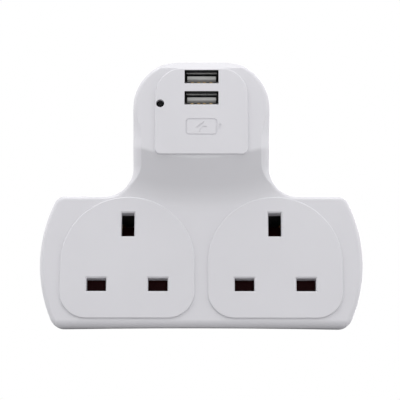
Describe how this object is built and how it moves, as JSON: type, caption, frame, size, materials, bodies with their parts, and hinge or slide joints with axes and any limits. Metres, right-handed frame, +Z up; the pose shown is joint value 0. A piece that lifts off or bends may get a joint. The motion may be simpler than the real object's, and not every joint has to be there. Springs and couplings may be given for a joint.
{
  "type": "multi socket adapter",
  "caption": "T-shaped plug-in mains adapter with shuttered socket outlets side by side on a bar, and charging ports with an indicator on the head above them.",
  "frame": {"origin": "on the plug face, on the centre line, midway in height between the earth pin and the line pins", "axes": "+X to the right of someone who faces the sockets, +Y back into the wall along the plug pins, +Z up"},
  "size_m": [0.1172, 0.0694, 0.099],
  "materials": {
    "case_white": "smooth moulded, glossy",
    "carrier_white": "smooth moulded, glossy",
    "sleeve_black": "matt moulded",
    "pin_brass": "polished",
    "contact_brass": "pressed strip",
    "shutter_red": "satin moulded",
    "spring_steel": "drawn wire",
    "screw_steel": "zinc plated",
    "block_grey": "matt moulded",
    "board_green": "lacquered board",
    "port_steel": "bright pressed sheet",
    "tongue_white": "moulded",
    "fuse_ceramic": "glazed ceramic tube",
    "fuse_cap": "nickel plated",
    "can_blue": "shrunk sleeve over a can",
    "core_ferrite": "pressed ferrite",
    "winding_yellow": "taped winding",
    "chip_black": "moulded",
    "lens_smoked": "smoked clear moulding",
    "led_white": "moulded",
    "lead_brown": "smooth insulation",
    "lead_blue": "smooth insulation"
  },
  "bodies": {
    "housing": {"front_cover": "case_white", "socket_plate_left": "case_white", "socket_plate_right": "case_white", "head_panel": "case_white", "rear_cover": "case_white", "case_screws": "screw_steel", "board_screws": "screw_steel", "earth_pin": "pin_brass", "live_pin": "pin_brass", "neutral_pin": "pin_brass", "live_pin_sleeve": "sleeve_black", "neutral_pin_sleeve": "sleeve_black", "fuse_clip_line": "contact_brass", "fuse_clip_load": "contact_brass", "live_busbar": "contact_brass", "neutral_busbar": "contact_brass", "earth_busbar": "contact_brass", "contact_carrier_left": "block_grey", "contact_carrier_right": "block_grey", "shutter_spring_left": "spring_steel", "shutter_spring_right": "spring_steel", "usb_shell_upper": "port_steel", "usb_shell_lower": "port_steel", "usb_tongue_upper": "tongue_white", "usb_tongue_lower": "tongue_white", "usb_contacts_upper": "contact_brass", "usb_contacts_lower": "contact_brass", "indicator_lens": "lens_smoked", "indicator_led": "led_white", "charger_board": "board_green", "transformer_core": "core_ferrite", "transformer_bobbin": "winding_yellow", "input_capacitor": "can_blue", "output_capacitor": "can_blue", "controller_chip": "chip_black", "live_lead": "lead_brown", "charger_live_lead": "lead_brown", "charger_neutral_lead": "lead_blue"},
    "shutter_left": {"shutter_left": "shutter_red"},
    "shutter_right": {"shutter_right": "shutter_red"},
    "fuse_drawer": {"fuse_carrier": "carrier_white", "fuse_body": "fuse_ceramic", "fuse_caps": "fuse_cap"}
  },
  "joints": [
    {"name": "shutter_left_slide", "type": "slide", "parent": "housing", "child": "shutter_left", "axis": [0, 0, -1], "range_m": [0, 0.00575], "stiffness_N_per_m": 100, "springref_m": -0.004, "deforming": ["shutter_spring_left"]},
    {"name": "shutter_right_slide", "type": "slide", "parent": "housing", "child": "shutter_right", "axis": [0, 0, -1], "range_m": [0, 0.00575], "stiffness_N_per_m": 100, "springref_m": -0.004, "deforming": ["shutter_spring_right"]},
    {"name": "fuse_carrier_slide", "type": "slide", "parent": "housing", "child": "fuse_drawer", "axis": [0, 1, 0], "range_m": [0, 0.012]}
  ]
}
